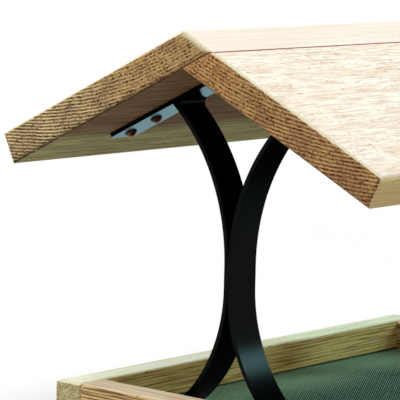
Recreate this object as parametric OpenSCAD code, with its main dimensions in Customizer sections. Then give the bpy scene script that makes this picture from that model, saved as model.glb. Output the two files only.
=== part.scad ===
// Fly-through bird feeder: a gabled board roof on two pairs of curved flat bars
// over a shallow seed tray with a mesh floor. Millimetres, +Z up, +X along the ridge.
// The origin is under the middle of the tray, on the surface that the feeder stands on.

/* [Roof] */
// Length of the roof along the ridge
roof_len = 402; // [340:1:520]
// Fall of each roof board below the level, in degrees
roof_pitch = 26.2; // [22:0.1:30]
// Top face of each slope, from the ridge to the eave
roof_slope = 176.5; // [160:0.5:200]
// Thickness of the roof boards
board_t = 22; // [18:0.5:26]
// Radius of the eased gable edges
board_ease = 3; // [1:0.25:5]
// Radius of the lower edge along each eave
eave_low_ease = 1; // [0.5:0.25:3]
// Radius of the softer top edge along each eave
eave_ease = 5; // [2:0.5:8]
// Radius of the worn corners at the back board's eave, seen from above
back_corner_r = 5; // [1:0.5:8]
// Height planed off the sharp ridge line
ridge_flat = 0.8; // [0.3:0.1:2]
// Easing of the top edge along the joint between the boards
seam_ease = 0.8; // [0.4:0.1:1.5]

/* [Tray] */
// Height of the ridge above the tops of the rails
ridge_over_rails = 240; // [225:1:255]
// How far each gable stands out past the tray
gable_overhang = 12; // [4:0.5:30]
// Width of the tray over its side rails
tray_w = 232; // [210:1:280]
// Thickness of the rails
rail_t = 24; // [18:0.5:28]
// Height of the rails
rail_h = 38; // [34:0.5:46]
// Radius of the eased rail edges
rail_ease = 2.5; // [1:0.25:4]
// Radius of the softer outer top edges of the side rails
rail_outer_ease = 6; // [2:0.5:8]

/* [Screen] */
// Depth of the screen's top below the rail tops
screen_drop = 22; // [20:0.5:24]
// Thickness of the sheet between the wires
web_t = 0.8; // [0.6:0.1:1.2]
// Height of the wires above and below the sheet
wire_h = 0.4; // [0.3:0.1:0.6]
// Width of each wire
wire_w = 1.6; // [1:0.1:2]
// Spacing of the wires
wire_pitch = 4; // [3.5:0.1:5]
// Rows of drain gaps along the tray
gap_rows = 8; // [4:1:8]
// Drain gaps in each row
gap_cols = 15; // [8:1:15]
// Depth of the saw kerf that holds the screen in the rails
kerf_depth = 6; // [4:0.5:9]
// Height of that kerf
kerf_h = 3; // [2.6:0.1:4]
// Room between the screen's edge and the bottom of the kerf
kerf_room = 0.6; // [0.3:0.1:1]

/* [Battens] */
// Width of the battens under the screen
batten_w = 32; // [28:1:44]
// Thickness of the battens
batten_t = 11; // [8:0.5:12]
// Radius of the eased batten edges
batten_ease = 1.5; // [0.5:0.25:2.5]

/* [Supports] */
// Width of the flat bars
bar_w = 25; // [20:0.5:30]
// Thickness of the flat bars
bar_t = 3; // [2.5:0.1:4]
// Radius of each bar's upper curve at its outer face
top_bend_r = 136; // [124:1:150]
// Radius of each bar's lower curve at its outer face
foot_bend_r = 107; // [100:1:122]
// Length over which the two bars lie flat together at the waist
waist_flat = 15; // [8:1:30]
// Height of the waist above the rail tops
waist_over_rails = 78; // [72:0.5:90]
// Gap from the end rail to the near edge of the bars
bar_inset = 14.5; // [8:0.5:30]
// Distance from the ridge to the tip of each bracket wing, down the slope
wing_reach = 130.5; // [125:0.5:150]
// Corner clipped off each wing tip
tip_clip = 2; // [1:0.25:4]
// How far the base bar reaches past the feet
base_bar_over = 3; // [2:0.5:12]
// Radius of the corners at the base bar's ends
base_corner_r = 2.5; // [1:0.25:5]
// Outside radius of the bracket's bend under the ridge
bracket_bend_r = 6; // [4.5:0.5:10]
// Radius of the weld fillets where the bars meet the bracket
weld_r = 5; // [2:0.5:7]
// Radius of the weld fillets where the bars meet the base bar
foot_weld_r = 3; // [2:0.5:5]

/* [Screws] */
// Diameter of the screw shanks
shank_d = 4; // [3:0.1:4.5]
// Diameter of the domed heads
pan_d = 8.4; // [7:0.1:10]
// Height of the domed heads
pan_h = 2.8; // [2:0.1:3.5]
// Diameter of the countersunk heads
flat_d = 8; // [7:0.1:9]
// Length of the bracket screws below the head
roof_screw_len = 18; // [12:0.5:20]
// Depth that the base bar screws stop short of the bar's top
base_screw_short = 0.6; // [0.4:0.1:1]
// Length of the screws that go through the side rails
rail_screw_len = 46; // [36:1:60]
// Distance from the wing tip to the outer bracket screw
wing_screw_edge = 9; // [7:0.5:12]
// Spacing of the two screws in each wing
wing_screw_gap = 25; // [20:0.5:34]
// Distance from the base bar's middle to its screws
base_screw_y = 26; // [15:0.5:34]
// Distance from the top and bottom of a rail to its corner screws
rail_screw_edge = 11; // [9:0.5:13]
// Reach of the cross recess across a screw head
cross_w = 4.6; // [3.5:0.1:5.5]
// Width of the cross recess's slots
cross_slot = 1; // [0.7:0.1:1.2]
// Depth of the cross recess
cross_depth = 1.5; // [1:0.1:1.8]

/* [Hidden] */
$fn = 48;

// Heights
rail_top = rail_h;
apex_z = rail_top + ridge_over_rails;
waist_z = rail_top + waist_over_rails;
screen_top = rail_top - screen_drop;
screen_bottom = screen_top - web_t - 2 * wire_h;
base_bar_top = screen_top + bar_t;
kerf_bottom = screen_bottom;

// Tray plan
tray_len = roof_len - 2 * gable_overhang;
inner_len = tray_len - 2 * rail_t;
inner_w = tray_w - 2 * rail_t;
bar_mid_x = inner_len / 2 - bar_inset - bar_w / 2;

// Roof section, in the frame of one slope: s runs down the slope, n stands off its top face
slope_turn = 2 * roof_pitch;
seam_s = board_t / sin(slope_turn);
bevel_run = board_t / tan(slope_turn);
bracket_n = board_t + bar_t;
roof_half_w = roof_slope * cos(roof_pitch);

// The curved ends are drawn this far round and then cut to length
bend_max = 84;
// How far the round of a weld fillet bites into the faces it joins
weld_bite = 0.15;

// Side reach of the feet on the base bar, and the length of the base bar that carries them
foot_off = waist_z - waist_flat / 2 - base_bar_top;
foot_reach = foot_bend_r - sqrt(max(0, pow(foot_bend_r - bar_t, 2) - foot_off * foot_off));
base_len = 2 * (foot_reach + base_bar_over);

// Screw places
wing_screws = [wing_reach - wing_screw_edge, wing_reach - wing_screw_edge - wing_screw_gap];
rail_screw_z = [rail_screw_edge, rail_h - rail_screw_edge];
batten_bottom = screen_bottom - batten_t;
batten_screw_z = screen_bottom - batten_t / 2;
base_screw_len = base_bar_top - base_screw_short - batten_bottom;
wood_tip = shank_d * 1.4;
cut_over = 1;

// Colours
cedar_pale = [0.90, 0.83, 0.70];
cedar_warm = [0.80, 0.66, 0.46];
cedar_rail = [0.84, 0.80, 0.66];
cedar_batten = [0.72, 0.60, 0.42];
bar_black = [0.06, 0.065, 0.065];
bracket_grey = [0.33, 0.42, 0.45];
mesh_green = [0.24, 0.36, 0.30];
screw_bronze = [0.42, 0.25, 0.17];
screw_zinc = [0.62, 0.60, 0.54];

function unit(v) = v / norm(v);

// What is cut away outside a corner at p, between edges that leave it along a and b
module corner_waste(p, a, b, r) {
    half = acos(a * b) / 2;
    reach = r / tan(half);
    mid = unit(a + b);
    out = mid * (reach * cos(half) + cut_over);
    difference() {
        polygon([p + a * reach, p + a * reach - out, p + b * reach - out, p + b * reach]);
        translate(p + mid * r / sin(half)) circle(r);
    }
}

// A convex outline with each corner eased by its own radius
module soft_polygon(points, radii) {
    count = len(points);
    difference() {
        polygon(points);
        for (i = [0:count - 1])
            if (radii[i] > 0)
                corner_waste(points[i], unit(points[(i + count - 1) % count] - points[i]),
                    unit(points[(i + 1) % count] - points[i]), radii[i]);
    }
}

// A rectangle from low to high; radii go round from the low corner, x first
module soft_rect(low, high, radii) {
    soft_polygon([low, [high[0], low[1]], high, [low[0], high[1]]], radii);
}

module along_x(length) rotate([90, 0, 90]) linear_extrude(length, center = true) children();

module along_y(length) rotate([90, 0, 0]) linear_extrude(length, center = true) children();

module front_side() mirror([0, 1, 0]) children();

module right_side() mirror([1, 0, 0]) children();

// The back slope's frame: Y down the slope, Z off its top face, from the ridge line
module back_slope() translate([0, 0, apex_z]) rotate([-roof_pitch, 0, 0]) children();

// Everything under one slope's top face, with that face's gable edges eased
module under_slope() {
    along_y(4 * board_t)
        soft_rect([-roof_len / 2, -4 * board_t], [roof_len / 2, 0], [0, 0, board_ease, board_ease]);
}

// The thickness and plan outline that both boards share, with eased edges
module board_envelope() {
    along_y(4 * roof_slope)
        soft_rect([-roof_len / 2, -board_t], [roof_len / 2, 0],
            [board_ease, board_ease, board_ease, board_ease]);
}

module board_plan(corner_r) {
    translate([0, 0, -board_t - cut_over])
        linear_extrude(board_t + 2 * cut_over)
            soft_rect([-roof_len / 2, -roof_slope], [roof_len / 2, roof_slope],
                [0, 0, corner_r, corner_r]);
}

// Section of the back board: it runs up past the ridge and is planed level there
module back_board_section() {
    top_s = ridge_flat / sin(roof_pitch);
    past_s = board_t / 2;
    soft_polygon(
        [[roof_slope, -board_t], [roof_slope, 0], [top_s, 0],
            [top_s - past_s * cos(roof_pitch), -past_s * sin(roof_pitch)],
            [-bevel_run - past_s, -board_t]],
        [eave_low_ease, eave_ease, 0, 0, 0]);
}

// The back board's ridge edge is bevelled flush with the front slope
module back_board_blank() {
    intersection() {
        back_slope() intersection() {
            along_x(roof_len) back_board_section();
            board_envelope();
            board_plan(back_corner_r);
        }
        union() {
            front_side() back_slope() under_slope();
            translate([-roof_len, 0, 0]) cube([2 * roof_len, roof_slope, apex_z + cut_over]);
        }
    }
}

// The front board butts against the underside of the back board
module front_board_blank() {
    front_side() back_slope() intersection() {
        along_x(roof_len)
            soft_polygon(
                [[seam_s, 0], [seam_s - bevel_run, -board_t], [roof_slope, -board_t], [roof_slope, 0]],
                [seam_ease, 0, eave_low_ease, eave_ease]);
        board_envelope();
        board_plan(board_ease);
    }
}

// A turned screw that drives along +Z from the face its head bears on
module screw_shank(length, radius) {
    rotate_extrude()
        polygon([[0, 0], [radius, 0], [radius, length - wood_tip], [0, length]]);
}

module cross_recess() {
    for (turn = [45, 135])
        rotate([0, 0, turn]) cube([cross_w, cross_slot, 2 * cross_depth], center = true);
}

// Domed head; its lower face is at z = 0 and the crown points along -Z
module pan_dome() {
    crown_r = (pan_d * pan_d / 4 + pow(pan_h * 0.75, 2)) / (2 * pan_h * 0.75);
    rotate_extrude()
        intersection() {
            translate([0, crown_r - pan_h]) circle(crown_r);
            translate([0, -pan_h]) square([pan_d / 2, pan_h]);
        }
}

module pan_screw(length) {
    difference() {
        union() {
            pan_dome();
            screw_shank(length, shank_d / 2);
        }
        translate([0, 0, -pan_h]) cross_recess();
    }
}

// Countersunk screw without its recess; the head's flat lies at z = 0
module flat_screw_blank(length, tip) {
    radius = shank_d / 2;
    sink = (flat_d - shank_d) / 2;
    rotate_extrude()
        polygon([[0, 0], [flat_d / 2, 0], [radius, sink], [radius, length - tip], [0, length]]);
}

module flat_screw(length, tip) {
    difference() {
        flat_screw_blank(length, tip);
        cross_recess();
    }
}

// Places of the two screws in each of the four bracket wings
module at_bracket_screws() {
    for (side_x = [-1, 1], flip = [0, 1], s = wing_screws)
        mirror([0, flip, 0]) back_slope()
            translate([side_x * bar_mid_x, s, -bracket_n]) children();
}

// Machine screws that come up through the battens and the screen into the base bars
module at_base_screws() {
    for (side_x = [-1, 1], side_y = [-1, 1])
        translate([side_x * bar_mid_x, side_y * base_screw_y, batten_bottom]) children();
}

// Corner screws, driven through the side rails into the ends of the end rails
module at_rail_screws() {
    for (side_x = [-1, 1], flip = [0, 1], z = rail_screw_z)
        mirror([0, flip, 0])
            translate([side_x * (tray_len - rail_t) / 2, -tray_w / 2, z])
                rotate([-90, 0, 0]) children();
}

// Screws through the side rails into the battens' ends
module at_batten_screws() {
    for (x = [-bar_mid_x, 0, bar_mid_x], flip = [0, 1])
        mirror([0, flip, 0])
            translate([x, -tray_w / 2, batten_screw_z]) rotate([-90, 0, 0]) children();
}

// The whole back rail, standing on z = 0, with every edge eased and the outer top one softer
module side_rail_blank() {
    ease = [rail_ease, rail_ease, rail_ease, rail_ease];
    intersection() {
        linear_extrude(rail_h)
            soft_rect([-tray_len / 2, -rail_t / 2], [tray_len / 2, rail_t / 2], ease);
        along_x(tray_len + 2 * cut_over)
            soft_rect([-rail_t / 2, 0], [rail_t / 2, rail_h],
                [rail_ease, rail_ease, rail_outer_ease, rail_ease]);
        along_y(rail_t + 2 * cut_over)
            soft_rect([-tray_len / 2, 0], [tray_len / 2, rail_h], ease);
    }
}

// The space of the kerf that runs round the inside of the tray
module kerf_space() {
    translate([-inner_len / 2 - kerf_depth, -inner_w / 2 - kerf_depth, kerf_bottom])
        cube([inner_len + 2 * kerf_depth, inner_w + 2 * kerf_depth, kerf_h]);
}

// The point at a radius from an arc's centre and at a distance from it along toward
function arc_point(centre, radius, off, toward) =
    centre + toward * off
        - [toward[1], -toward[0]] * sqrt(max(0, radius * radius - off * off));

// One curved end of a bar, drawn upward, with the weld fillet on its outer face. The flat that
// it meets lies off away from the arc's centre, square to toward.
module bar_end(centre, off, toward, fillet_r) {
    bend_r = centre[0];
    reach = bend_r * 2;
    inside = bend_r - bar_t / 2;
    ball = arc_point(centre, bend_r + fillet_r - weld_bite, off - fillet_r + weld_bite, toward);
    translate(centre)
        intersection() {
            difference() {
                circle(bend_r, $fn = 180);
                circle(bend_r - bar_t, $fn = 180);
            }
            polygon([[0, 0], [-reach, 0], [-reach, reach],
                reach * [-cos(bend_max), sin(bend_max)]]);
        }
    difference() {
        polygon([arc_point(centre, inside, off + cut_over, toward),
            ball + toward * (fillet_r + cut_over), ball,
            centre + unit(ball - centre) * inside]);
        translate(ball) circle(fillet_r);
    }
}

// Side outline of the back bar, cut to the bracket above and the base bar below
module bar_outline() {
    top_centre = [top_bend_r, waist_flat / 2];
    foot_centre = [foot_bend_r, waist_flat / 2];
    slope_up = [sin(roof_pitch), cos(roof_pitch)];
    ridge_off = ([0, apex_z - waist_z] - top_centre) * slope_up - bracket_n;
    under_ridge = apex_z - bracket_n / cos(roof_pitch);
    intersection() {
        translate([0, waist_z]) {
            bar_end(top_centre, ridge_off, slope_up, weld_r);
            mirror([0, 1]) bar_end(foot_centre, foot_off, [0, 1], foot_weld_r);
            translate([0, -waist_flat / 2]) square([bar_t, waist_flat]);
        }
        polygon([[-cut_over, base_bar_top], [roof_half_w, base_bar_top],
            [roof_half_w, under_ridge - roof_half_w * tan(roof_pitch)],
            [-cut_over, under_ridge + cut_over * tan(roof_pitch)]]);
    }
}

module back_bar() {
    translate([-bar_mid_x, 0, 0]) along_x(bar_w) bar_outline();
}

// Side outline of the inverted V, flat against both boards with a round bend between the wings
module bracket_outline() {
    outer_peak = apex_z - board_t / cos(roof_pitch);
    inner_peak = apex_z - bracket_n / cos(roof_pitch);
    down = [cos(roof_pitch), -sin(roof_pitch)];
    inward = [-sin(roof_pitch), -cos(roof_pitch)];
    tip = [0, apex_z] + down * wing_reach + inward * board_t;
    below_tip = tip + inward * 2 * bar_t;
    inner_foot = [0, inner_peak] + down * 2 * wing_reach;
    difference() {
        soft_polygon([[0, outer_peak], tip, below_tip, [-below_tip[0], below_tip[1]],
            [-tip[0], tip[1]]], [bracket_bend_r, 0, 0, 0, 0]);
        soft_polygon([[0, inner_peak], inner_foot, [-inner_foot[0], inner_foot[1]]],
            [bracket_bend_r - bar_t, 0, 0]);
    }
}

// What clips the two corners of a wing tip
module wing_tip_waste() {
    translate([0, 0, -bracket_n - cut_over])
        linear_extrude(bar_t + 2 * cut_over)
            for (side = [-1, 1])
                polygon([[side * bar_w / 2 + side * tip_clip, wing_reach - 2 * tip_clip],
                    [side * bar_w / 2 + side * tip_clip, wing_reach + tip_clip],
                    [side * bar_w / 2 - side * 2 * tip_clip, wing_reach + tip_clip]]);
}

module ridge_bracket() {
    difference() {
        translate([-bar_mid_x, 0, 0]) difference() {
            along_x(bar_w) bracket_outline();
            back_slope() wing_tip_waste();
            front_side() back_slope() wing_tip_waste();
        }
        at_bracket_screws() translate([0, 0, -cut_over]) cylinder(h = bar_t + 2 * cut_over, d = shank_d);
    }
}

module base_bar() {
    difference() {
        translate([-bar_mid_x, 0, screen_top])
            linear_extrude(bar_t)
                soft_rect([-bar_w / 2, -base_len / 2], [bar_w / 2, base_len / 2],
                    [base_corner_r, base_corner_r, base_corner_r, base_corner_r]);
        at_base_screws() flat_screw_blank(base_screw_len, 0);
    }
}

// A side rail runs the full length of the tray
module side_rail() {
    difference() {
        translate([0, (tray_w - rail_t) / 2, 0]) side_rail_blank();
        kerf_space();
        at_rail_screws() flat_screw_blank(rail_screw_len, wood_tip);
        at_batten_screws() flat_screw_blank(rail_screw_len, wood_tip);
    }
}

// An end rail fits between the side rails
module end_rail() {
    difference() {
        translate([-(tray_len - rail_t) / 2, 0, 0])
            along_y(inner_w)
                soft_rect([-rail_t / 2, 0], [rail_t / 2, rail_h],
                    [rail_ease, rail_ease, rail_ease, rail_ease]);
        kerf_space();
        at_rail_screws() flat_screw_blank(rail_screw_len, wood_tip);
    }
}

module batten(x) {
    difference() {
        translate([x, 0, screen_bottom - batten_t])
            along_y(inner_w)
                soft_rect([-batten_w / 2, 0], [batten_w / 2, batten_t],
                    [batten_ease, batten_ease, 0, 0]);
        at_batten_screws() flat_screw_blank(rail_screw_len, wood_tip);
        at_base_screws() flat_screw_blank(base_screw_len, 0);
    }
}

// Wire places across a span, kept whole and centred
function wire_places(span) =
    let (count = floor((span - wire_w) / wire_pitch))
        [for (i = [0:count]) (i - count / 2) * wire_pitch];

// The middle of every so many cells between the wires, for the drain gaps
function gap_places(span, count) =
    let (cells = floor((span - wire_w) / wire_pitch), step = floor(cells / count),
        first = floor((cells - 1 - (count - 1) * step) / 2))
        [for (i = [0:count - 1]) (first + i * step + 0.5 - cells / 2) * wire_pitch];

// Section across a set of wires that stand on one side of the sheet
module wire_comb(span, width) {
    translate([-width / 2, 0]) square([width, web_t / 2]);
    for (at = wire_places(span))
        translate([at - wire_w / 2, 0]) square([wire_w, web_t / 2 + wire_h]);
}

// A woven sheet: wires along the tray on top, wires across it below, and open drain cells
module woven_screen() {
    sheet_len = inner_len + 2 * (kerf_depth - kerf_room);
    sheet_w = inner_w + 2 * (kerf_depth - kerf_room);
    cell = wire_pitch - wire_w;
    difference() {
        translate([0, 0, screen_bottom + wire_h + web_t / 2]) {
            along_x(sheet_len) wire_comb(inner_w, sheet_w);
            mirror([0, 0, 1]) along_y(sheet_w) wire_comb(inner_len, sheet_len);
        }
        translate([0, 0, screen_bottom - cut_over])
            linear_extrude(web_t + 2 * wire_h + 2 * cut_over)
                for (x = gap_places(inner_len, gap_cols), y = gap_places(inner_w, gap_rows))
                    translate([x - cell / 2, y - cell / 2]) square(cell);
        at_base_screws() flat_screw_blank(base_screw_len, 0);
    }
}

module back_roof_board() color(cedar_pale) difference() {
    back_board_blank();
    at_bracket_screws() screw_shank(roof_screw_len, shank_d / 2);
}

module front_roof_board() color(cedar_pale) difference() {
    front_board_blank();
    at_bracket_screws() screw_shank(roof_screw_len, shank_d / 2);
}

module left_ridge_bracket() color(bracket_grey) ridge_bracket();

module right_ridge_bracket() color(bracket_grey) right_side() ridge_bracket();

module left_back_strap() color(bar_black) back_bar();

module left_front_strap() color(bar_black) front_side() back_bar();

module right_back_strap() color(bar_black) right_side() back_bar();

module right_front_strap() color(bar_black) right_side() front_side() back_bar();

module left_base_bar() color(bar_black) base_bar();

module right_base_bar() color(bar_black) right_side() base_bar();

module back_rail() color(cedar_rail) side_rail();

module front_rail() color(cedar_rail) front_side() side_rail();

module left_end_rail() color(cedar_warm) end_rail();

module right_end_rail() color(cedar_warm) right_side() end_rail();

module screen() color(mesh_green) woven_screen();

module left_batten() color(cedar_batten) batten(-bar_mid_x);

module middle_batten() color(cedar_batten) batten(0);

module right_batten() color(cedar_batten) batten(bar_mid_x);

module bracket_screws() color(screw_bronze) at_bracket_screws() pan_screw(roof_screw_len);

module base_bar_screws() color(screw_zinc) at_base_screws() flat_screw(base_screw_len, 0);

module rail_screws() color(screw_zinc) at_rail_screws() flat_screw(rail_screw_len, wood_tip);

module batten_screws() color(screw_zinc) at_batten_screws() flat_screw(rail_screw_len, wood_tip);

back_roof_board();
front_roof_board();
left_ridge_bracket();
right_ridge_bracket();
left_back_strap();
left_front_strap();
right_back_strap();
right_front_strap();
left_base_bar();
right_base_bar();
back_rail();
front_rail();
left_end_rail();
right_end_rail();
screen();
left_batten();
middle_batten();
right_batten();
bracket_screws();
base_bar_screws();
rail_screws();
batten_screws();
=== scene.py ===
"""Looks of a fly-through bird feeder: a lapped board roof on curved bars over a mesh-floored tray.

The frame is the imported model's: metres, +Z up, +X along the ridge, and the origin under the middle
of the tray. A name that ends in mm holds millimetres.
"""

import logging
import math
from dataclasses import dataclass, field
from enum import Enum
from typing import Any, Mapping, Optional, Sequence, Union

import bpy
from mathutils import Matrix, Vector


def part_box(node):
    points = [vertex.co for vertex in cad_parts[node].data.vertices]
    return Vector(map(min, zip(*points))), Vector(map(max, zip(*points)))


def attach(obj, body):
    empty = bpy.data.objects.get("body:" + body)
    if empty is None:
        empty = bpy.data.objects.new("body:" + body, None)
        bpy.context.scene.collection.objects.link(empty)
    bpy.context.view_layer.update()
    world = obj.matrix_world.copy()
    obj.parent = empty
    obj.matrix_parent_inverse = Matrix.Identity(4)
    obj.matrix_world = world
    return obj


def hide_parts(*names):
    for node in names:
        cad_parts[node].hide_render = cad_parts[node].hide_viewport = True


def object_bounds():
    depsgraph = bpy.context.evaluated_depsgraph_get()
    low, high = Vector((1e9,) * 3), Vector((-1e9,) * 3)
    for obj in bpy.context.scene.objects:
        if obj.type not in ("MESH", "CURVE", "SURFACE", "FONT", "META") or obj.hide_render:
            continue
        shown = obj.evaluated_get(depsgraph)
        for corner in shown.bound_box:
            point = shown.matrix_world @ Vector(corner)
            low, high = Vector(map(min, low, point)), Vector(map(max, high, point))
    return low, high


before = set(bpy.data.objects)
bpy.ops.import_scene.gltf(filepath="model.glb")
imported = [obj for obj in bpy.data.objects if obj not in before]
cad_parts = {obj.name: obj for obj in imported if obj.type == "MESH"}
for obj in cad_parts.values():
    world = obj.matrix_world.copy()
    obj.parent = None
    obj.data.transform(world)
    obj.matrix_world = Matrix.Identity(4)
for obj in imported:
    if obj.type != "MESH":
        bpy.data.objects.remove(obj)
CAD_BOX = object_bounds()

log = logging.getLogger("feeder")

MM = 0.001
BODY = "root"
GABLE_X = CAD_BOX[0].x

Rgb = tuple[int, int, int]
Linear = tuple[float, float, float, float]
Triple = tuple[float, float, float]
Levels = tuple[float, float]

WHITE: Linear = (1.0, 1.0, 1.0, 1.0)
AXIS_X: Triple = (1.0, 0.0, 0.0)
AXIS_Y: Triple = (0.0, 1.0, 0.0)
AXIS_Z: Triple = (0.0, 0.0, 1.0)

# How far a surface faces a direction before it starts to count, and when it counts in full
EDGE_FACING: Levels = (0.5, 0.85)
CORNER_FACING: Levels = (0.25, 0.5)
BACK_FACING: Levels = (-0.5, -0.8)


def paint(rgb: Rgb) -> Linear:
    """Turn a colour as seen on a screen into the renderer's linear colour.

    Args:
        rgb: Red, green and blue from 0 to 255.

    Returns:
        Linear red, green and blue, and an alpha of 1.
    """
    parts = [part / 255 for part in rgb]
    bent = [p / 12.92 if p <= 0.04045 else ((p + 0.055) / 1.055) ** 2.4 for p in parts]
    return bent[0], bent[1], bent[2], 1.0


class MathStep(Enum):
    """Steps of the Math node that the finishes use."""

    ADD = "ADD"
    SUBTRACT = "SUBTRACT"
    MULTIPLY = "MULTIPLY"
    POWER = "POWER"
    ABSOLUTE = "ABSOLUTE"
    SINE = "SINE"


class VectorStep(Enum):
    """Steps of the Vector Math node, each with the number of the output that it fills."""

    MULTIPLY = ("MULTIPLY", 0)
    DOT_PRODUCT = ("DOT_PRODUCT", 1)
    LENGTH = ("LENGTH", 1)


class Signal:
    """A shader socket that takes part in Python sums, each of which adds its Math node."""

    def __init__(self, bench: "ShaderBench", socket: bpy.types.NodeSocket) -> None:
        """Keep the socket and the bench that it was made on."""
        self.bench = bench
        self.socket = socket

    def math(self, step: MathStep, *others: "Number") -> "Signal":
        """Feed this socket and others to a Math node and return its result."""
        return self.bench.scalar(step, self, *others)

    def __add__(self, other: "Number") -> "Signal":
        """Sum."""
        return self.math(MathStep.ADD, other)

    def __radd__(self, other: float) -> "Signal":
        """Sum, with the number first."""
        return self.math(MathStep.ADD, other)

    def __sub__(self, other: "Number") -> "Signal":
        """Difference."""
        return self.math(MathStep.SUBTRACT, other)

    def __rsub__(self, other: float) -> "Signal":
        """Difference, with the number first."""
        return self.bench.scalar(MathStep.SUBTRACT, other, self)

    def __mul__(self, other: "Number") -> "Signal":
        """Product."""
        return self.math(MathStep.MULTIPLY, other)

    def __rmul__(self, other: float) -> "Signal":
        """Product, with the number first."""
        return self.math(MathStep.MULTIPLY, other)

    def __pow__(self, other: "Number") -> "Signal":
        """Power."""
        return self.math(MathStep.POWER, other)

    def __abs__(self) -> "Signal":
        """Size without its sign."""
        return self.math(MathStep.ABSOLUTE)

    def wave(self) -> "Signal":
        """Swing from 0 to 1 and back with every turn of this angle."""
        return 0.5 + 0.5 * self.math(MathStep.SINE)

    def dot(self, axis: Triple) -> "Signal":
        """Measure this vector along an axis."""
        return self.bench.vector(VectorStep.DOT_PRODUCT, self, axis)

    def rise(self, low: float, high: float) -> "Signal":
        """Climb smoothly from 0 to 1 between two levels.

        Args:
            low: The level that gives 0.
            high: The level that gives 1, which may be the lower one.

        Returns:
            The share, which stays between 0 and 1.
        """
        settings = {"interpolation_type": "SMOOTHSTEP", "clamp": True}
        sockets = {"Value": self, "From Min": low, "From Max": high}
        return self.bench.out("ShaderNodeMapRange", settings, sockets)

    def clamped(self) -> "Signal":
        """Hold the value between 0 and 1."""
        settings = {"operation": MathStep.ADD.value, "use_clamp": True}
        return self.bench.out("ShaderNodeMath", settings, {0: self, 1: 0.0})


Number = Union[Signal, float, int]
Colour = Union[Signal, Rgb]


class ShaderBench:
    """Makes the nodes of one material or world."""

    def __init__(self, tree: bpy.types.NodeTree) -> None:
        """Start on an empty node tree."""
        self.tree = tree
        tree.nodes.clear()

    def node(
        self, kind: str, settings: Mapping[str, Any], sockets: Mapping[Any, Any]
    ) -> bpy.types.Node:
        """Add a node.

        Args:
            kind: The node's type.
            settings: Its own settings, set first.
            sockets: Values or links for its inputs, by name or number.

        Returns:
            The node.
        """
        made = self.tree.nodes.new(kind)
        for name, value in settings.items():
            setattr(made, name, value)
        for name, value in sockets.items():
            if isinstance(value, Signal):
                self.tree.links.new(value.socket, made.inputs[name])
            else:
                made.inputs[name].default_value = value
        return made

    def out(
        self, kind: str, settings: Mapping[str, Any], sockets: Mapping[Any, Any], output: Any = 0
    ) -> Signal:
        """Add a node and return one of its outputs as a signal."""
        return Signal(self, self.node(kind, settings, sockets).outputs[output])

    def scalar(self, step: MathStep, *inputs: Number) -> Signal:
        """Do one step of Math on its inputs in order."""
        sockets = dict(enumerate(inputs))
        return self.out("ShaderNodeMath", {"operation": step.value}, sockets)

    def vector(self, step: VectorStep, *inputs: Any) -> Signal:
        """Do one step of Vector Math.

        Args:
            step: The step.
            inputs: Links or vectors, in order.

        Returns:
            The output that the step fills, a vector or a number.
        """
        operation, output = step.value
        sockets = dict(enumerate(inputs))
        return self.out("ShaderNodeVectorMath", {"operation": operation}, sockets, output)

    def blend(self, factor: Number, low: Colour, high: Colour) -> Signal:
        """Mix two colours.

        Args:
            factor: 0 for the first colour and 1 for the second.
            low: The first colour, a link or a colour as seen on a screen.
            high: The second.

        Returns:
            The mixed colour.
        """
        first, second = (end if isinstance(end, Signal) else paint(end) for end in (low, high))
        settings = {"data_type": "RGBA", "clamp_factor": True}
        factor_in, first_in, second_in, colour_out = 0, 6, 7, 2
        sockets = {factor_in: factor, first_in: first, second_in: second}
        return self.out("ShaderNodeMix", settings, sockets, colour_out)

    def point(self) -> Signal:
        """Return where the surface that is being shaded lies, in metres."""
        return self.out("ShaderNodeTexCoord", {}, {}, "Object")

    def bump(self, height: Signal, depth_mm: float) -> Signal:
        """Turn a height from 0 to 1 into a normal, for a relief of that depth."""
        sockets = {"Height": height, "Distance": depth_mm * MM, "Strength": 1.0}
        return self.out("ShaderNodeBump", {}, sockets)

    def surface(self, sockets: Mapping[str, Any]) -> None:
        """Finish the material with a Principled shader."""
        shader = self.out("ShaderNodeBsdfPrincipled", {}, sockets)
        self.node("ShaderNodeOutputMaterial", {}, {"Surface": shader})

    def seen_directly(self) -> Signal:
        """Tell what is looked at from what only lights things.

        Returns:
            1 for what the camera, a reflection or a clear pane sees, and 0 otherwise.
        """
        rays = self.node("ShaderNodeLightPath", {}, {})
        names = ("Is Camera Ray", "Is Glossy Ray", "Is Transmission Ray")
        camera, glossy, clear = (Signal(self, rays.outputs[name]) for name in names)
        return (camera + glossy + clear).clamped()

    def either(self, factor: Number, first: Signal, second: Signal) -> Signal:
        """Mix two shaders, with a factor of 0 for the first and 1 for the second."""
        return self.out("ShaderNodeMixShader", {}, {0: factor, 1: first, 2: second})


def new_material(name: str) -> tuple[bpy.types.Material, ShaderBench]:
    """Make an empty material.

    Args:
        name: The material's name.

    Returns:
        The material and the bench for its nodes.
    """
    material = bpy.data.materials.new(name)
    material.use_nodes = True
    return material, ShaderBench(material.node_tree)


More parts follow.
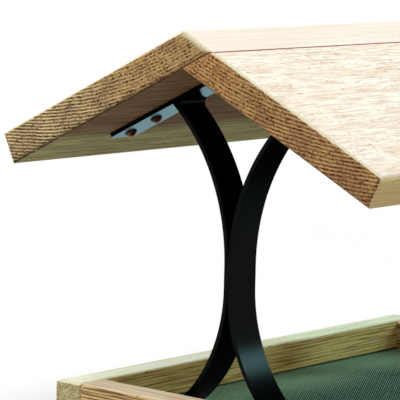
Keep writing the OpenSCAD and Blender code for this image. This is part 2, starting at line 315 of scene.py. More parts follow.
@dataclass(frozen=True)
class Mottle:
    """Noise with its own size of cell along each axis.

    The cells are sized in the unit of the place that is looked up. The levels are the noise that
    gives a share of 0 and the noise that gives a share of 1.
    """

    cell: Triple
    detail: float = 2.0
    roughness: float = 0.5
    levels: Levels = (0.0, 1.0)

    def value(self, place: Signal) -> Signal:
        """Look up the bare noise.

        Args:
            place: Where, as a vector.

        Returns:
            A value about 0.5.
        """
        scale = tuple(1 / size for size in self.cell)
        scaled = place.bench.vector(VectorStep.MULTIPLY, place, scale)
        sockets = {"Vector": scaled, "Scale": 1.0, "Detail": self.detail, "Roughness": self.roughness}
        return place.bench.out("ShaderNodeTexNoise", {}, sockets)

    def share(self, place: Signal) -> Signal:
        """Look up the noise as a share from 0 to 1."""
        return self.value(place).rise(*self.levels)

    def sway(self, place: Signal, span: float) -> Signal:
        """Look up the noise as a swing about 0 that spans so much from end to end."""
        return (self.value(place) - 0.5) * span


@dataclass(frozen=True)
class BoardFrame:
    """Directions of one board: along its fibres, across its width and out of its best face."""

    along: Triple
    across: Triple
    out: Triple
    origin: Triple = (0.0, 0.0, 0.0)

    def place(self, bench: ShaderBench) -> list[Signal]:
        """Give a surface point's distance along each direction, in millimetres."""
        point = bench.point()
        return [self._distance(point, axis) for axis in self._axes()]

    def facing(self, bench: ShaderBench) -> list[Signal]:
        """Give how far a surface faces each direction, from -1 to 1."""
        normal = bench.out("ShaderNodeTexCoord", {}, {}, "Normal")
        return [normal.dot(axis) for axis in self._axes()]

    def _axes(self) -> tuple[Triple, Triple, Triple]:
        """Return the three directions."""
        return self.along, self.across, self.out

    def _distance(self, point: Signal, axis: Triple) -> Signal:
        """Measure from the origin along one direction, in millimetres."""
        start = Vector(self.origin).dot(Vector(axis))
        return (point.dot(axis) - start) * (1 / MM)


class Slope(Enum):
    """The roof's two slopes, each with the sign of Y on its side of the ridge."""

    BACK = 1
    FRONT = -1


@dataclass(frozen=True)
class RoofShape:
    """Sizes of the roof that its grain, its marks and the camera go by.

    The flat is the height planed off the ridge.
    """

    pitch: float = math.radians(26.2)
    board_mm: float = 22.0
    ridge_flat_mm: float = 0.8

    @property
    def apex_z(self) -> float:
        """Return the height at which the slopes' top faces would meet."""
        return CAD_BOX[1].z + self.ridge_flat_mm * MM

    @property
    def joint_mm(self) -> float:
        """Return how far down the front slope the boards' joint lies."""
        return self.board_mm / math.sin(2 * self.pitch)

    def frame(self, slope: Slope) -> BoardFrame:
        """Find the directions of the board on one slope.

        Args:
            slope: The slope.

        Returns:
            Along the ridge, down the slope and out of its top face, from the apex.
        """
        down = (0.0, slope.value * math.cos(self.pitch), -math.sin(self.pitch))
        out = (0.0, slope.value * math.sin(self.pitch), math.cos(self.pitch))
        return BoardFrame(AXIS_X, down, out, (0.0, 0.0, self.apex_z))


ROOF_SHAPE = RoofShape()


@dataclass(frozen=True)
class WoodSpot:
    """A point of the wood in its board's frame, in millimetres, and how its surface faces."""

    bench: ShaderBench
    along: Signal
    across: Signal
    out: Signal
    place: Signal
    end_facing: Signal
    across_facing: Signal
    out_facing: Signal

    @staticmethod
    def read(bench: ShaderBench, board: BoardFrame) -> "WoodSpot":
        """Read the point from the surface that is being shaded.

        Args:
            bench: The material's bench.
            board: The board's directions.

        Returns:
            The point.
        """
        along, across, out = board.place(bench)
        axes = {"X": along, "Y": across, "Z": out}
        place = bench.out("ShaderNodeCombineXYZ", {}, axes)
        return WoodSpot(bench, along, across, out, place, *board.facing(bench))


@dataclass(frozen=True)
class Rings:
    """Growth rings as circles round a pith line that runs along the board.

    The pith is placed across the board and out of it. The rings wander by the wave along the board
    and by the ripple over a short stretch. The thin levels are the parts of a ring's swing where
    its dark line starts and is full.
    """

    pith_mm: tuple[float, float]
    pitch_mm: float
    wave_mm: float = 1.4
    ripple_mm: float = 0.55
    thin: Levels = (0.25, 0.65)
    waves: Mottle = Mottle((400.0, 60.0, 60.0), 1.0)
    ripples: Mottle = Mottle((90.0, 9.0, 9.0), 1.0)

    def late(self, spot: WoodSpot) -> Signal:
        """Find the share of dark latewood.

        Args:
            spot: Where in the wood.

        Returns:
            0 in the pale earlywood and 1 in the dark line of each ring.
        """
        wave = self.waves.sway(spot.place, 2 * self.wave_mm)
        ripple = self.ripples.sway(spot.place, 2 * self.ripple_mm)
        side = spot.across - self.pith_mm[0]
        up = spot.out - self.pith_mm[1]
        radius = (side * side + up * up) ** 0.5 + wave + ripple
        turn = radius * (2 * math.pi / self.pitch_mm)
        return turn.wave().rise(*self.thin)


@dataclass(frozen=True)
class EndGrain:
    """Colours where the saw cut across the fibres.

    Dashes break up the rings' dark lines, pores dot the earlywood between them, and patches of it
    take on a tinge of the dark colour.
    """

    early: Rgb
    late: Rgb
    rings: Rings
    breaks: float = 0.5
    pores: float = 0.5
    tinge: float = 0.3
    dash: Mottle = Mottle((2.0, 1.6, 1.4), 2.0, 0.75, (0.58, 0.46))
    pore: Mottle = Mottle((2.0, 1.4, 1.2), 1.0, 0.6, (0.52, 0.66))
    patch: Mottle = Mottle((60.0, 14.0, 14.0), 1.0, 0.5, (0.35, 0.65))

    def colour(self, spot: WoodSpot) -> Signal:
        """Colour the cut.

        Args:
            spot: Where in the wood.

        Returns:
            The colour.
        """
        late = self.rings.late(spot)
        line = late * (1 - self.dash.share(spot.place) * self.break_share(spot))
        pores = self.pores * self.pore.share(spot.place) * (1 - late)
        tinge = self.tinge * self.patch.share(spot.place)
        early = spot.bench.blend(tinge, self.early_colour(spot), self.late)
        return spot.bench.blend((line + pores).clamped(), early, self.late)

    def break_share(self, spot: WoodSpot) -> Number:
        """Give how far the dashes break up the dark lines here."""
        return self.breaks

    def early_colour(self, spot: WoodSpot) -> Colour:
        """Give the colour of the earlywood here."""
        return self.early


@dataclass(frozen=True, kw_only=True)
class GableGrain(EndGrain):
    """End grain of a roof board, darker and more broken up toward the ridge.

    The change is full at the first distance down the slope and ends at the second.
    """

    early_ridge: Rgb
    ridge_breaks: float
    ridge_mm: tuple[float, float]

    def ridge_share(self, spot: WoodSpot) -> Signal:
        """Give how near the ridge a point counts, from 0 to 1."""
        full, end = self.ridge_mm
        return spot.across.rise(end, full)

    def break_share(self, spot: WoodSpot) -> Number:
        """Give how far the dashes break up the dark lines here."""
        return self.breaks + (self.ridge_breaks - self.breaks) * self.ridge_share(spot)

    def early_colour(self, spot: WoodSpot) -> Colour:
        """Give the colour of the earlywood here."""
        return spot.bench.blend(self.ridge_share(spot), self.early, self.early_ridge)


def fine_lines(length_mm: float, width_mm: float) -> Mottle:
    """Return the pattern of fine lines of a length and width along the fibres."""
    return Mottle((length_mm, width_mm, width_mm), 2.0, 0.6, (0.42, 0.66))


@dataclass(frozen=True)
class SawnFace:
    """Colours of a face along the fibres: faint bands, fine lines and torn flecks.

    Each kind of mark has its strength as a share. The face is torn where the noise passes
    fleck_from, and patches sway that. The ring share of the lines follows the growth rings.
    """

    base: Rgb
    band: Rgb
    line: Rgb
    fleck: Rgb
    band_share: float = 0.5
    line_share: float = 0.4
    fleck_share: float = 0.5
    fleck_from: float = 0.6
    fleck_step: float = 0.1
    ring_share: float = 0.0
    patch_span: float = 0.22
    bands: Mottle = Mottle((160.0, 9.0, 9.0), levels=(0.4, 0.62))
    lines: Mottle = fine_lines(55.0, 1.1)
    torn: Mottle = Mottle((5.0, 1.2, 1.2), roughness=0.65)
    patches: Mottle = Mottle((45.0, 22.0, 22.0), 1.0)

    def colour(self, spot: WoodSpot, late: Signal) -> Signal:
        """Colour the face.

        Args:
            spot: Where in the wood.
            late: Share of latewood from the rings.

        Returns:
            The colour.
        """
        bench, place = spot.bench, spot.place
        lines = self.lines.share(place) * (1 - self.ring_share) + late * self.ring_share
        torn = self.torn.value(place) + self.patches.sway(place, self.patch_span)
        flecks = torn.rise(self.fleck_from, self.fleck_from + self.fleck_step)
        colour = bench.blend(self.band_share * self.bands.share(place), self.base, self.band)
        colour = bench.blend(self.line_share * lines, colour, self.line)
        return bench.blend(self.fleck_share * flecks, colour, self.fleck)


@dataclass(frozen=True)
class CedarFinish:
    """Cedar as a solid: one set of rings seen on its ends, its best face, its edge and its back.

    The top corners of the ends carry a painted highlight, a pale colour where their arris turns up.
    Face reach is how far the best face's look reaches round them; below 0, the end grain reaches
    round them instead. Wrap is how far the end grain reaches round the ends' other corners. The long
    corners carry nicks.
    """

    name: str
    end: EndGrain
    face: SawnFace
    edge: SawnFace
    back: SawnFace
    # Colour of the painted highlight on the ends' top corners
    scuff_and_highlight: Rgb = (204, 198, 166)
    highlight_share: float = 0.85
    face_reach: float = 0.25
    wrap: float = 0.25
    ragged: float = 0.35
    nick: Rgb = (84, 60, 42)
    nick_share: float = 0.7
    relief_mm: float = 0.3
    roughness: float = 0.8
    gloss: float = 0.2
    highlight_end: Levels = (0.1, 0.4)
    highlight_top: Levels = (0.05, 0.2)
    end_levels: Levels = (0.78, 0.93)
    border: Mottle = Mottle((1.6, 2.4, 2.4), 2.0, 0.6)
    nicks: Mottle = Mottle((6.0, 2.5, 2.5), 2.0, 0.6, (0.62, 0.7))
    grit: Mottle = Mottle((4.0, 0.8, 0.8), 3.0, 0.65)
    saw: Mottle = Mottle((2.4, 14.0, 14.0), 2.0, 0.6)
    grit_part: float = 0.6
    saw_part: float = 0.25
    late_part: float = 0.15

    def material(self, board: BoardFrame) -> bpy.types.Material:
        """Build the material for one board.

        Args:
            board: The board's directions.

        Returns:
            The material.
        """
        material, bench = new_material(self.name)
        spot = WoodSpot.read(bench, board)
        late = self.end.rings.late(spot)
        colour = self.face_colour(spot, late)
        colour = bench.blend(self.edge_share(spot), colour, self.edge.colour(spot, late))
        away = spot.out_facing.rise(*BACK_FACING)
        colour = bench.blend(away, colour, self.back_colour(spot, late))
        # Painted highlight: the ends' arris that turns up is made pale, as light from above would
        # light it
        scuff_and_highlight = abs(spot.end_facing).rise(*self.highlight_end) * spot.out_facing.rise(*self.highlight_top)
        colour = bench.blend(self.highlight_share * scuff_and_highlight, colour, self.scuff_and_highlight)
        nicks = self.nicks.share(spot.place) * self.corner_share(spot)
        colour = bench.blend(self.nick_share * nicks, colour, self.nick)
        colour = self.marks(spot, colour)
        colour = bench.blend(self.end_share(spot), colour, self.end_colour(spot))
        grit = self.grit_part * self.grit.value(spot.place)
        relief = grit + self.saw_part * self.saw.value(spot.place) + self.late_part * late
        bench.surface(
            {
                "Base Color": colour,
                "Roughness": self.roughness,
                "Normal": bench.bump(relief, self.relief_mm),
                "Specular IOR Level": self.gloss,
            }
        )
        return material

    def end_colour(self, spot: WoodSpot) -> Signal:
        """Colour the sawn ends."""
        return self.end.colour(spot)

    def end_share(self, spot: WoodSpot) -> Signal:
        """Find how much a surface belongs to the sawn ends.

        Args:
            spot: Where in the wood.

        Returns:
            0 on the long faces and 1 on the ends, with a ragged border between them.
        """
        # The two halves add up to minus the face's reach where the surface faces out, and to wrap
        # where it faces back
        half_sum, half_gap = (self.face_reach + self.wrap) / 2, (self.face_reach - self.wrap) / 2
        lean = self.wrap * abs(spot.across_facing)
        lean = lean - half_sum * spot.out_facing - half_gap * abs(spot.out_facing)
        ragged = self.border.sway(spot.place, self.ragged)
        return (abs(spot.end_facing) + lean + ragged).rise(*self.end_levels)

    def sideways(self, spot: WoodSpot) -> Signal:
        """Give how far a surface faces the board's edges."""
        return abs(spot.across_facing)

    def edge_share(self, spot: WoodSpot) -> Signal:
        """Give how much a surface belongs to the board's edges."""
        return self.sideways(spot).rise(*EDGE_FACING)

    def corner_share(self, spot: WoodSpot) -> Signal:
        """Give how much a surface belongs to the long corners, which carry the nicks."""
        upright = abs(spot.out_facing)
        return self.sideways(spot).rise(*CORNER_FACING) * upright.rise(*CORNER_FACING)

    def face_colour(self, spot: WoodSpot, late: Signal) -> Signal:
        """Colour the best face."""
        return self.face.colour(spot, late)

    def back_colour(self, spot: WoodSpot, late: Signal) -> Signal:
        """Colour the face away from the best one."""
        return self.back.colour(spot, late)

    def marks(self, spot: WoodSpot, colour: Signal) -> Signal:
        """Leave the colour as it is; a board with marks of its own adds them here."""
        return colour


@dataclass(frozen=True)
class RoofCedar(CedarFinish):
    """Cedar of a roof board: browner under the ridge, partly its wood and partly painted shade, with a
    dark joint line on top.

    The gable's crest carries a painted highlight, pale under the ridge bevel, and its lower corners
    are torn and carry painted shade. A crack slants along the underside from a point along the board
    and across it. Each pair of levels holds where a look starts and where it is full. joint_mm is
    None for a board without the joint line.
    """

    face: SawnFace = SawnFace(
        base=(246, 238, 224), band=(240, 224, 204), line=(222, 190, 166), fleck=(152, 102, 78),
        band_share=0.9, line_share=0.8, fleck_share=0.65, fleck_from=0.59,
        lines=fine_lines(24.0, 2.0),
    )
    edge: SawnFace = SawnFace(
        base=(232, 200, 142), band=(220, 184, 126), line=(176, 140, 90), fleck=(148, 108, 70),
        line_share=0.35, fleck_share=0.3, ring_share=0.4,
    )
    back: SawnFace = SawnFace(
        base=(188, 180, 126), band=(170, 158, 108), line=(112, 98, 62), fleck=(94, 78, 50),
        line_share=0.9, lines=fine_lines(50.0, 1.2),
    )
    ridge_face: SawnFace = SawnFace(
        base=(243, 229, 214), band=(238, 221, 205), line=(228, 206, 190), fleck=(214, 188, 168),
        band_share=0.6, line_share=0.5, fleck_share=0.3, fleck_from=0.64,
        lines=fine_lines(60.0, 1.9),
    )
    ridge_facing: Levels = (-0.3, -0.6)
    crest_mm: Levels = (4.5, 1.0)
    crest_share: float = 0.75
    crest_span_mm: float = 3.0
    crest_border: Mottle = Mottle((3.0, 3.0, 3.0), 2.0, 0.6)
    # A darker brown under the ridge: partly the wood's own colour and partly painted shade
    shaded_ridge_back: SawnFace = SawnFace(
        base=(138, 102, 64), band=(112, 82, 50), line=(62, 42, 26), fleck=(56, 40, 26),
        line_share=0.9, lines=fine_lines(50.0, 1.2),
    )
    ridge_shade_mm: Levels = (140.0, 112.0)
    shake: Rgb = (70, 52, 34)
    shake_share: float = 0.7
    shake_from_mm: tuple[float, float] = (-175.0, 125.0)
    shake_slant: float = 0.085
    shake_span_mm: float = 5.0
    shake_half_mm: Levels = (0.9, 0.3)
    shake_border: Mottle = Mottle((60.0, 40.0, 40.0), 1.0)
    joint: Rgb = (160, 78, 80)
    joint_mm: Optional[float] = None
    joint_width_mm: Levels = (1.8, 0.9)
    joint_top: Levels = (0.1, 0.4)
    joint_end: Levels = (0.5, 0.2)
    # Painted shade, with torn fibres, on the gable ends' lower corners
    torn_arris_shade: Rgb = (78, 52, 38)
    arris_back: Levels = (-0.4, -0.6)
    arris_end: Levels = (0.02, 0.25)
    arris_torn: Mottle = Mottle((6.0, 7.0, 6.0), 2.0, 0.7, (0.3, 0.55))
    clear: Levels = (0.4, 0.6)

    def sideways(self, spot: WoodSpot) -> Signal:
        """Give how far a surface faces the eave; the ridge bevel counts as face."""
        return spot.across_facing

    def end_colour(self, spot: WoodSpot) -> Signal:
        """Paint a pale highlight on the crest of the gable, just under the ridge bevel.

        Args:
            spot: Where in the wood.

        Returns:
            The colour of the sawn ends.
        """
        # Painted highlight: the crest just under the ridge bevel turns pale, as light from above would
        # light it
        turn = 2 * ROOF_SHAPE.pitch
        under_bevel = spot.across * math.sin(turn) - spot.out * math.cos(turn)
        border = self.crest_border.sway(spot.place, self.crest_span_mm)
        crest = self.crest_share * (under_bevel + border).rise(*self.crest_mm)
        return spot.bench.blend(crest, self.end.colour(spot), self.scuff_and_highlight)

    def face_colour(self, spot: WoodSpot, late: Signal) -> Signal:
        """Set the smoother ridge bevel apart from the slope.

        Args:
            spot: Where in the wood.
            late: Share of latewood from the rings.

        Returns:
            The colour of both top faces.
        """
        slope = self.face.colour(spot, late)
        ridge = self.ridge_face.colour(spot, late)
        return spot.bench.blend(spot.across_facing.rise(*self.ridge_facing), slope, ridge)

    def back_colour(self, spot: WoodSpot, late: Signal) -> Signal:
        """Turn the underside from olive to brown and painted shade near the ridge, with a crack.

        Args:
            spot: Where in the wood.
            late: Share of latewood from the rings.

        Returns:
            The colour of the underside.
        """
        low = self.back.colour(spot, late)
        # Painted shade: the underside turns a darker brown toward the ridge, partly its wood and
        # partly the shade there
        high = self.shaded_ridge_back.colour(spot, late)
        colour = spot.bench.blend(spot.across.rise(*self.ridge_shade_mm), low, high)
        start, side = self.shake_from_mm
        line = side + self.shake_slant * (spot.along - start)
        sway = self.shake_border.sway(spot.place, self.shake_span_mm)
        crack = abs(spot.across - line + sway).rise(*self.shake_half_mm)
        return spot.bench.blend(self.shake_share * crack, colour, self.shake)

    def marks(self, spot: WoodSpot, colour: Signal) -> Signal:
        """Darken the joint on top, and paint shade on the torn lower corners of the gable ends.

        Args:
            spot: Where in the wood.
            colour: The colour so far.

        Returns:
            The colour with the marks.
        """
        end = abs(spot.end_facing)
        if self.joint_mm is not None:
            outer, inner = (self.joint_mm + width for width in self.joint_width_mm)
            on_top = spot.out_facing.rise(*self.joint_top) * end.rise(*self.joint_end)
            colour = spot.bench.blend(spot.across.rise(outer, inner) * on_top, colour, self.joint)
        # Painted shade on the gable ends' lower corners, which face down, broken up by noise like torn
        # fibres
        torn = self.arris_torn.share(spot.place)
        lower = spot.out_facing.rise(*self.arris_back) * end.rise(*self.arris_end) * torn
        start, full = (ROOF_SHAPE.joint_mm * part for part in self.clear)
        return spot.bench.blend(lower * spot.across.rise(start, full), colour, self.torn_arris_shade)


@dataclass(frozen=True)
class BarFinish:
    """Satin coat on flat bar, with a faint orange-peel relief.

    The coat is set up as a dark metal, whose tint sets how bright it turns at a glancing angle.
    """

    name: str
    colour: Rgb = (15, 17, 16)
    cloud: Rgb = (18, 21, 20)
    roughness: float = 0.2
    roughness_span: float = 0.06
    tint: Triple = (0.52, 0.53, 0.53)
    peel_mm: float = 0.03
    peel: Mottle = Mottle((1.2 * MM, 1.2 * MM, 1.2 * MM))
    clouds: Mottle = Mottle((20 * MM, 20 * MM, 20 * MM), 3.0)

    def material(self) -> bpy.types.Material:
        """Build the material.

        Returns:
            The material.
        """
        material, bench = new_material(self.name)
        point = bench.point()
        clouds = self.clouds.value(point)
        bench.surface(
            {
                "Base Color": bench.blend(clouds, self.colour, self.cloud),
                "Roughness": self.roughness + (clouds - 0.5) * self.roughness_span,
                "Normal": bench.bump(self.peel.value(point), self.peel_mm),
                "Metallic": 1.0,
                "Specular Tint": (*self.tint, 1.0),
            }
        )
        return material


@dataclass(frozen=True)
class PlatedFinish:
    """Plated steel of the screws, with worn patches that shine less."""

    name: str
    colour: Rgb
    scuff_and_highlight: Rgb
    roughness: float = 0.32
    worn_roughness: float = 0.15
    patches: Mottle = Mottle((2 * MM, 2 * MM, 2 * MM), 3.0, 0.5, (0.42, 0.68))

    def material(self) -> bpy.types.Material:
        """Build the material.

        Returns:
            The material.
        """
        material, bench = new_material(self.name)
        scuff_and_highlight = self.patches.share(bench.point())
        bench.surface(
            {
                "Base Color": bench.blend(scuff_and_highlight, self.colour, self.scuff_and_highlight),
                "Metallic": 1.0,
                "Roughness": self.roughness + self.worn_roughness * scuff_and_highlight,
            }
        )
        return material


@dataclass(frozen=True)
class WireFinish:
    """Coated wire of the woven floor, with painted shade in slant lines like those its weave throws
    up.

    Nearness holds the values of Y where the floor counts as its back and as its front. The dust lies
    in clouds, and the same pale colour toward the back is painted light; the slant lines of painted
    shade have a share at the back and one at the front.
    """

    name: str
    colour: Rgb
    dust_and_back_light: Rgb
    slant_shade: Rgb
    lines_per_wire: float = 0.75
    line_levels: Levels = (0.15, 0.55)
    nearness: Levels = (0.105, 0.02)
    slant_share: tuple[float, float] = (0.1, 1.0)
    cloud_part: float = 0.4
    roughness: float = 0.9
    clouds: Mottle = Mottle((50 * MM, 50 * MM, 50 * MM), 3.0, 0.5, (0.35, 0.7))

    def material(self, pitch_mm: tuple[float, float]) -> bpy.types.Material:
        """Build the material.

        Args:
            pitch_mm: Spacing of the wires along X and along Y. The lines run through crossings
                that lie one wire further along both.

        Returns:
            The material.
        """
        material, bench = new_material(self.name)
        point = bench.point()
        near = point.dot(AXIS_Y).rise(*self.nearness)
        # Painted light: the wire turns paler toward the back, besides the clouds of dust
        dust_and_back_light = self.cloud_part * self.clouds.share(point) + (1 - self.cloud_part) * (1 - near)
        colour = bench.blend(dust_and_back_light, self.colour, self.dust_and_back_light)
        across_lines = (1.0, -pitch_mm[0] / pitch_mm[1], 0.0)
        turn = point.dot(across_lines) * (2 * math.pi * self.lines_per_wire / (pitch_mm[0] * MM))
        back, front = self.slant_share
        # Painted shade: dark slant lines, heavier toward the front
        slant_shade = turn.wave().rise(*self.line_levels) * (back + (front - back) * near)
        bench.surface(
            {
                "Base Color": bench.blend(slant_shade, colour, self.slant_shade),
                "Roughness": self.roughness,
                "Specular IOR Level": 0.0,
            }
        )
        return material


def dress(finishes: Mapping[str, bpy.types.Material]) -> list[str]:
    """Give CAD nodes their finishes.

    Args:
        finishes: Each node's finish, by the node's name.

    Returns:
        The nodes' names.
    """
    for node, material in finishes.items():
        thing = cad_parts[node]
        if not thing.material_slots:
            thing.data.materials.append(material)
        for slot in thing.material_slots:
            slot.material = material
    return list(finishes)


def add_object(name: str, data: bpy.types.ID) -> bpy.types.Object:
    """Add an object to the scene.

    Args:
        name: The object's name.
        data: Its mesh, light or camera.

    Returns:
        The object.
    """
    made = bpy.data.objects.new(name, data)
    bpy.context.scene.collection.objects.link(made)
    return made


def add_piece(
    name: str, mesh: bpy.types.Mesh, material: bpy.types.Material
) -> bpy.types.Object:
    """Add a piece that rides on the feeder.

    Args:
        name: The piece's name.
        mesh: Its mesh, in the model's frame.
        material: Its finish.

    Returns:
        The piece.
    """
    piece = add_object(name, mesh)
    piece.data.materials.append(material)
    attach(piece, BODY)
    return piece


@dataclass
class Roof:
    """Two boards that lap at the ridge."""

    back: CedarFinish = RoofCedar(
        "roof_cedar_back",
        end=GableGrain(
            early=(213, 193, 136), late=(62, 14, 12), early_ridge=(186, 152, 96),
            rings=Rings(pith_mm=(5.0, 340.0), pitch_mm=2.15, thin=(0.2, 0.5)),
            breaks=0.3, ridge_breaks=0.7, ridge_mm=(30.0, 130.0), pores=0.8,
        ),
        face_reach=0.0,
    )
    front: CedarFinish = RoofCedar(
        "roof_cedar_front",
        end=GableGrain(
            early=(180, 146, 90), late=(74, 10, 6), early_ridge=(180, 142, 84),
            rings=Rings(pith_mm=(5.0, 340.0), pitch_mm=2.35),
            breaks=0.45, ridge_breaks=0.7, ridge_mm=(30.0, 110.0), pores=0.8,
        ),
        face_reach=-0.1,
        joint_mm=ROOF_SHAPE.joint_mm,
    )

    def build(self) -> list[str]:
        """Dress both boards.

        Returns:
            Their names.
        """
        finishes = {
            "back_roof_board": self.back.material(ROOF_SHAPE.frame(Slope.BACK)),
            "front_roof_board": self.front.material(ROOF_SHAPE.frame(Slope.FRONT)),
        }
        return dress(finishes)


@dataclass
class Supports:
    """Curved bars, their brackets under the ridge and the base bars that they stand on."""

    coat: BarFinish = BarFinish("black_bar_coat")
    bracket: BarFinish = BarFinish(
        "bracket_coat", colour=(12, 16, 18), cloud=(20, 28, 32), tint=(0.66, 0.92, 1.0)
    )

    def build(self) -> list[str]:
        """Dress the four pieces at each gable.

        Returns:
            Their names.
        """
        coat = self.coat.material()
        bracket = self.bracket.material()
        finishes = {}
        for side in ("left", "right"):
            for part in ("back_strap", "front_strap", "base_bar"):
                finishes[f"{side}_{part}"] = coat
            finishes[f"{side}_ridge_bracket"] = bracket
        return dress(finishes)


class Lay(Enum):
    """The cloth's two sets of wires, along the tray and across it, by the names of their pieces."""

    LONG = "screen_long_wires"
    CROSS = "screen_cross_wires"


@dataclass
class WovenScreen:
    """Plain-woven wire cloth: each wire goes over and under those that cross it.

    The wires across the tray are spaced along X and those along it along Y. The cloth's top lies a
    little below the CAD screen's.
    """

    pitch_x_mm: float = 2.1
    pitch_y_mm: float = 1.29
    wire_mm: float = 0.42
    below_top_mm: float = 0.1
    sides: int = 3
    finish: WireFinish = WireFinish(
        "screen_wire", colour=(128, 168, 140), dust_and_back_light=(160, 194, 156), slant_shade=(12, 50, 48)
    )

    @property
    def radius(self) -> float:
        """Return half the wires' thickness."""
        return self.wire_mm * MM / 2

    def build(self) -> list[str]:
        """Weave both sets of wires in the CAD screen's place.

        Returns:
            Their names.
        """
        low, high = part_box("screen")
        coat = self.finish.material((self.pitch_x_mm, self.pitch_y_mm))
        level = high.z - self.below_top_mm * MM - 2 * self.radius
        columns = self.places(low.x, high.x, self.pitch_x_mm * MM)
        rows = self.places(low.y, high.y, self.pitch_y_mm * MM)
        meshes = {
            Lay.LONG: self.wires(Lay.LONG, columns, rows, level),
            Lay.CROSS: self.wires(Lay.CROSS, rows, columns, level),
        }
        for lay, mesh in meshes.items():
            piece = add_piece(lay.value, mesh, coat)
            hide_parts("screen")
        return [lay.value for lay in meshes]

    def places(self, low: float, high: float, pitch: float) -> list[float]:
        """Space wires evenly between two edges.

        Args:
            low: The lower edge.
            high: The higher edge.
            pitch: About how far apart.

        Returns:
            The middle of each wire, the first and last with their sides at the edges.
        """
        first, last = low + self.radius, high - self.radius
        count = round((last - first) / pitch)
        return [first + (last - first) * step / count for step in range(count + 1)]

    def wires(
        self, lay: Lay, stations: list[float], lines: list[float], level: float
    ) -> bpy.types.Mesh:
        """Make one set of parallel wires with a bend at each crossing.

        Args:
            lay: Which set.
            stations: Where the wires bend, along their length.
            lines: Where each wire runs, across its length.
            level: Height of the cloth's middle.

        Returns:
            The mesh.
        """
        angles = [math.pi / 2 + 2 * math.pi * turn / self.sides for turn in range(self.sides)]
        points: list[Triple] = []
        faces: list[Sequence[int]] = []
        along_x = lay is Lay.LONG
        over = 1 if along_x else -1
        for row, line in enumerate(lines):
            first = len(points)
            for step, station in enumerate(stations):
                lift = over * self.radius * (1 if (row + step) % 2 else -1)
                for angle in angles:
                    side = line + self.radius * math.cos(angle)
                    height = level + lift + self.radius * math.sin(angle)
                    points.append((station, side, height) if along_x else (side, station, height))
                if step:
                    faces += self.ring_faces(len(points) - self.sides)
            faces.append(range(first, first + self.sides)[::-1])
            faces.append(range(len(points) - self.sides, len(points)))
        if along_x:
            faces = [face[::-1] for face in faces]
        mesh = bpy.data.meshes.new("wires")
        mesh.from_pydata(points, [], [tuple(face) for face in faces])
        mesh.polygons.foreach_set("use_smooth", [True] * len(mesh.polygons))
        return mesh

    def ring_faces(self, start: int) -> list[Sequence[int]]:
        """Join a ring of points to the ring before it.

        Args:
            start: Number of the ring's first point.

        Returns:
            The quads, which face outward on the cross wires.
        """
        made: list[Sequence[int]] = []
        for here in range(start, start + self.sides):
            after = here + 1 if here + 1 < start + self.sides else start
            made.append((here - self.sides, after - self.sides, after, here))
        return made


@dataclass
class Tray:
    """Four rails, three battens and the woven floor."""

    side: CedarFinish = CedarFinish(
        "rail_cedar_side",
        end=EndGrain(
            early=(190, 182, 136), late=(122, 100, 64), breaks=0.85, pores=0.95,
            rings=Rings(pith_mm=(-40.0, -140.0), pitch_mm=1.9, ripple_mm=0.9),
        ),
        face=SawnFace(
            base=(252, 255, 238), band=(232, 244, 202), line=(206, 206, 156), fleck=(160, 138, 96),
            band_share=0.85, line_share=0.55, fleck_share=0.4, lines=fine_lines(60.0, 1.8),
        ),
        edge=SawnFace(
            base=(250, 226, 140), band=(234, 192, 108), line=(132, 78, 36), fleck=(118, 76, 42),
            band_share=0.35, line_share=0.85, fleck_share=0.25, ring_share=0.3,
            lines=fine_lines(45.0, 1.1),
        ),
        back=SawnFace(
            base=(176, 160, 112), band=(160, 142, 98), line=(130, 108, 70), fleck=(104, 82, 54)
        ),
    )
    end: CedarFinish = CedarFinish(
        "rail_cedar_end",
        end=EndGrain(
            early=(206, 180, 132), late=(140, 98, 66), breaks=0.7,
            rings=Rings(pith_mm=(-150.0, -60.0), pitch_mm=2.8, wave_mm=2.0),
        ),
        face=SawnFace(
            base=(222, 214, 182), band=(212, 186, 156), line=(176, 126, 100), fleck=(150, 98, 74),
            line_share=0.7, fleck_share=0.3, lines=fine_lines(60.0, 1.8),
        ),
        edge=SawnFace(
            base=(206, 176, 120), band=(172, 132, 88), line=(72, 34, 18), fleck=(84, 44, 26),
            band_share=0.35, line_share=1.0, fleck_share=0.35, ring_share=0.1,
            lines=fine_lines(40.0, 1.1),
        ),
        back=SawnFace(
            base=(176, 156, 112), band=(160, 136, 96), line=(130, 100, 68), fleck=(104, 76, 52)
        ),
    )
    screen: WovenScreen = field(default_factory=WovenScreen)

    def build(self) -> list[str]:
        """Dress the rails and battens and weave the floor.

        Returns:
            The names of all of them.
        """
        side = self.side.material(BoardFrame(AXIS_X, AXIS_Y, AXIS_Z))
        end = self.end.material(BoardFrame(AXIS_Y, AXIS_X, AXIS_Z))
        finishes = dict.fromkeys(("back_rail", "front_rail"), side)
        crossing = ("left_end_rail", "right_end_rail", "left_batten", "middle_batten", "right_batten")
        finishes.update(dict.fromkeys(crossing, end))
        return dress(finishes) + self.screen.build()


@dataclass
class Fixings:
    """The four groups of screws."""

    bronze: PlatedFinish = PlatedFinish(
        "bronze_plate", colour=(50, 31, 24), scuff_and_highlight=(138, 78, 46), roughness=0.26
    )
    zinc: PlatedFinish = PlatedFinish("zinc_plate", colour=(150, 146, 132), scuff_and_highlight=(186, 182, 166))

    def build(self) -> list[str]:
        """Dress the screws.

        Returns:
            Their names.
        """
        finishes = {"bracket_screws": self.bronze.material()}
        in_tray = ("base_bar_screws", "rail_screws", "batten_screws")
        finishes.update(dict.fromkeys(in_tray, self.zinc.material()))
        return dress(finishes)


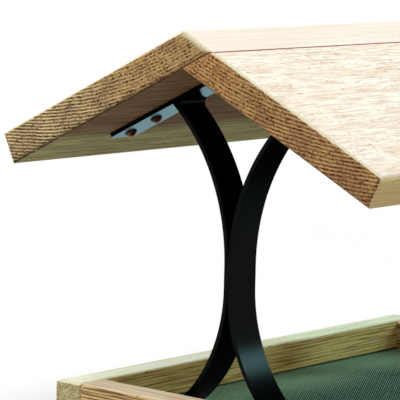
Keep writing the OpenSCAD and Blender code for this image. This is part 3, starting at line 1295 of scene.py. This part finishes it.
@dataclass(frozen=True)
class Lamp:
    """A soft light with a flat face. A level of 1 lights a facing white card at the aim to white."""

    name: str
    place: Triple
    aim: Triple
    size: tuple[float, float]
    level: float
    colour: Triple = (1.0, 1.0, 1.0)

    def light(self) -> None:
        """Hang the lamp."""
        lamp = bpy.data.lights.new(self.name, "AREA")
        lamp.shape = "RECTANGLE"
        lamp.size, lamp.size_y = self.size
        lamp.color = self.colour
        back = Vector(self.place) - Vector(self.aim)
        lamp.energy = self.level * math.pi**2 * back.length_squared
        held = add_object(self.name, lamp)
        held.location = self.place
        held.rotation_mode = "QUATERNION"
        held.rotation_quaternion = back.to_track_quat("Z", "Y")


@dataclass(frozen=True)
class Viewpoint:
    """The photograph's camera: how it stands round the near gable's apex, and its lens.

    The azimuth turns from -Y, and the aim is measured from the apex, to the right and up.
    """

    azimuth: float = math.radians(-49.382)
    elevation: float = math.radians(7.288)
    roll: float = math.radians(1.344)
    distance: float = 1.54552
    aim_right: float = 0.01391
    aim_up: float = -0.10687
    lens_mm: float = 221.26
    sensor_mm: float = 36.0
    nearest: float = 0.05
    furthest: float = 60.0

    def stand(self) -> None:
        """Make the camera."""
        back = Vector(
            (
                math.sin(self.azimuth) * math.cos(self.elevation),
                -math.cos(self.azimuth) * math.cos(self.elevation),
                math.sin(self.elevation),
            )
        )
        level = Vector((math.cos(self.azimuth), math.sin(self.azimuth), 0.0))
        upright = back.cross(level)
        right = level * math.cos(self.roll) + upright * math.sin(self.roll)
        up = upright * math.cos(self.roll) - level * math.sin(self.roll)
        aim = Vector((GABLE_X, 0.0, ROOF_SHAPE.apex_z + self.aim_up)) + right * self.aim_right
        lens = bpy.data.cameras.new("camera")
        lens.lens = self.lens_mm
        lens.sensor_width = self.sensor_mm
        lens.clip_start = self.nearest
        lens.clip_end = self.furthest
        camera = add_object("camera", lens)
        turn = Matrix((right, up, back)).transposed().to_4x4()
        camera.matrix_world = Matrix.Translation(aim + back * self.distance) @ turn
        bpy.context.scene.camera = camera


@dataclass
class Studio:
    """White background, pale floor and soft lamps.

    The floor has one colour as it lights things and one as it is seen. It is seen whiter outside
    the feeder's shadow and all white far out. Each reach holds where that starts and is full.
    """

    floor_size: float = 16.0
    floor_colour: Rgb = (178, 178, 176)
    seen_floor: Rgb = (240, 240, 240)
    seen_share: float = 0.92
    shadow_reach: Levels = (0.16, 0.32)
    far_reach: Levels = (0.4, 1.4)
    world_level: float = 0.35
    lamps: tuple[Lamp, ...] = (
        Lamp(
            "top_lamp", place=(-0.25, -0.5, 1.9), aim=(0.0, 0.0, 0.15), size=(1.2, 1.2),
            level=0.5, colour=(1.0, 0.99, 0.98),
        ),
        Lamp("rear_lamp", place=(-1.15, 1.35, 1.25), aim=(0.0, 0.0, 0.1), size=(1.0, 1.0), level=0.7),
        Lamp(
            "strip_lamp", place=(1.5, -1.15, 1.2), aim=(0.0, 0.0, 0.1), size=(0.24, 0.95),
            level=0.37, colour=(0.55, 0.92, 1.0),
        ),
        Lamp("left_lamp", place=(-1.9, -0.35, 0.8), aim=(0.0, 0.0, 0.15), size=(0.9, 0.9), level=0.18),
    )
    view: Viewpoint = Viewpoint()

    def build(self) -> None:
        """Light the scene, lay the floor and stand the camera."""
        bpy.context.scene.view_settings.view_transform = "Standard"
        self.view.stand()
        for lamp in self.lamps:
            lamp.light()
        self.world()
        self.floor()

    def world(self) -> None:
        """Make a plain ambient light behind a white background."""
        world = bpy.data.worlds.new("studio")
        world.use_nodes = True
        bench = ShaderBench(world.node_tree)
        ambient, white = (
            bench.out("ShaderNodeBackground", {}, {"Color": WHITE, "Strength": level})
            for level in (self.world_level, 1.0)
        )
        mixed = bench.either(bench.seen_directly(), ambient, white)
        bench.node("ShaderNodeOutputWorld", {}, {"Surface": mixed})
        bpy.context.scene.world = world

    def floor(self) -> None:
        """Lay a pale floor that reads white and keeps the feeder's shadow."""
        half = self.floor_size / 2
        mesh = bpy.data.meshes.new("floor")
        corners = [(-half, -half, 0.0), (half, -half, 0.0), (half, half, 0.0), (-half, half, 0.0)]
        mesh.from_pydata(corners, [], [(0, 1, 2, 3)])
        floor = add_object("floor", mesh)
        material, bench = new_material("floor_paint")
        seen = bench.seen_directly()
        colour = bench.blend(seen, self.floor_colour, self.seen_floor)
        matt = bench.out("ShaderNodeBsdfDiffuse", {}, {"Color": colour})
        white = bench.out("ShaderNodeEmission", {}, {"Color": WHITE, "Strength": 1.0})
        reach = bench.vector(VectorStep.LENGTH, bench.point())
        share = self.seen_share * reach.rise(*self.shadow_reach)
        share = share + reach.rise(*self.far_reach) * (1 - share)
        mixed = bench.either(seen * share, matt, white)
        bench.node("ShaderNodeOutputMaterial", {}, {"Surface": mixed})
        mesh.materials.append(material)


def main() -> None:
    """Build the studio and the feeder's sub-assemblies in order."""
    logging.basicConfig(level=logging.INFO)
    Studio().build()
    for assembly in (Roof(), Supports(), Tray(), Fixings()):
        for name in assembly.build():
            log.info("%s: %s", type(assembly).__name__, name)


if __name__ == "__main__":
    main()
